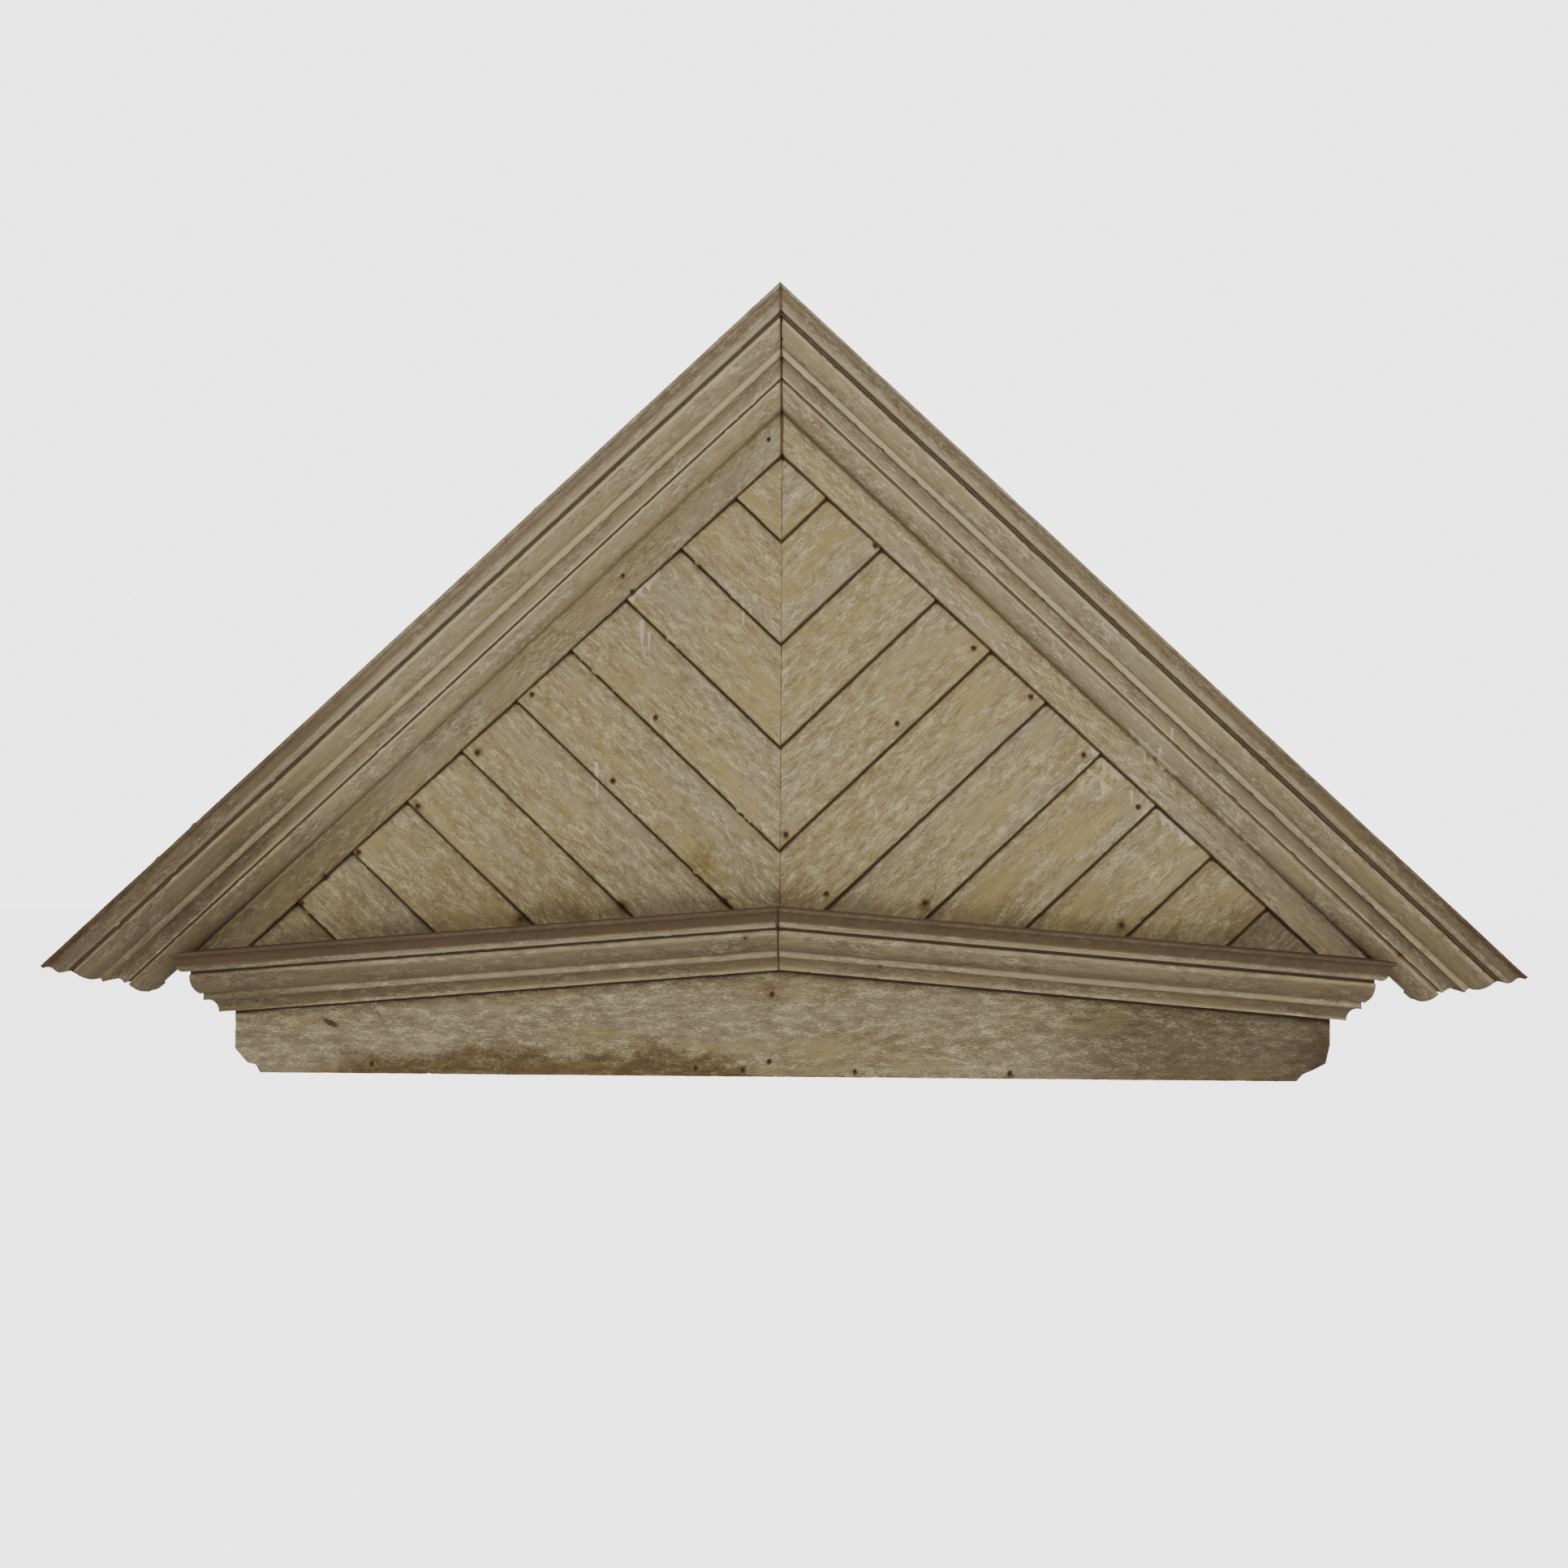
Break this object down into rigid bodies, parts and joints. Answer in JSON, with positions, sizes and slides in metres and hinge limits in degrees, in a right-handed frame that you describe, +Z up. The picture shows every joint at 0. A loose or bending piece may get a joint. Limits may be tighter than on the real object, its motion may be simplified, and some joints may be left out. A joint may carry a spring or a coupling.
{
  "type": "triangular pediment",
  "caption": "Wooden triangular pediment with raking and lower moulded cornices over a base board, chevron clapboard field, worn stone-coloured paint; planted on a wall.",
  "frame": {"origin": "middle of the base board's back, in the wall plane", "axes": "+X to the right along the base, +Y into the wall, +Z up to the apex; the front faces -Y"},
  "size_m": [2.3558, 0.1223, 1.2739],
  "materials": {
    "crown": "weathered paint, worn brown at the edges",
    "moulding": "weathered matt paint",
    "raking_board": "weathered matt paint",
    "base_board": "crackled matt paint",
    "clapboard": "crackled matt paint"
  },
  "bodies": {
    "root": {"base_board": "base_board", "rake_board_left": "raking_board", "rake_crown_left": "crown", "rake_crown_return_left": "crown", "rake_ovolo_left": "moulding", "rake_ovolo_return_left": "moulding", "rake_cove_left": "moulding", "rake_cove_return_left": "moulding", "rake_bed_left": "moulding", "rake_bed_return_left": "moulding", "cornice_crown_left": "crown", "cornice_crown_return_left": "crown", "cornice_ovolo_left": "moulding", "cornice_ovolo_return_left": "moulding", "cornice_cove_left": "moulding", "cornice_cove_return_left": "moulding", "clapboard_left_01": "clapboard", "clapboard_left_02": "clapboard", "clapboard_left_03": "clapboard", "clapboard_left_04": "clapboard", "clapboard_left_05": "clapboard", "clapboard_left_06": "clapboard", "clapboard_left_07": "clapboard", "clapboard_left_08": "clapboard", "clapboard_left_09": "clapboard", "clapboard_left_10": "clapboard", "rake_board_right": "raking_board", "rake_crown_right": "crown", "rake_crown_return_right": "crown", "rake_ovolo_right": "moulding", "rake_ovolo_return_right": "moulding", "rake_cove_right": "moulding", "rake_cove_return_right": "moulding", "rake_bed_right": "moulding", "rake_bed_return_right": "moulding", "cornice_crown_right": "crown", "cornice_crown_return_right": "crown", "cornice_ovolo_right": "moulding", "cornice_ovolo_return_right": "moulding", "cornice_cove_right": "moulding", "cornice_cove_return_right": "moulding", "clapboard_right_01": "clapboard", "clapboard_right_02": "clapboard", "clapboard_right_03": "clapboard", "clapboard_right_04": "clapboard", "clapboard_right_05": "clapboard", "clapboard_right_06": "clapboard", "clapboard_right_07": "clapboard", "clapboard_right_08": "clapboard", "clapboard_right_09": "clapboard", "clapboard_right_10": "clapboard"}
  },
  "joints": []
}
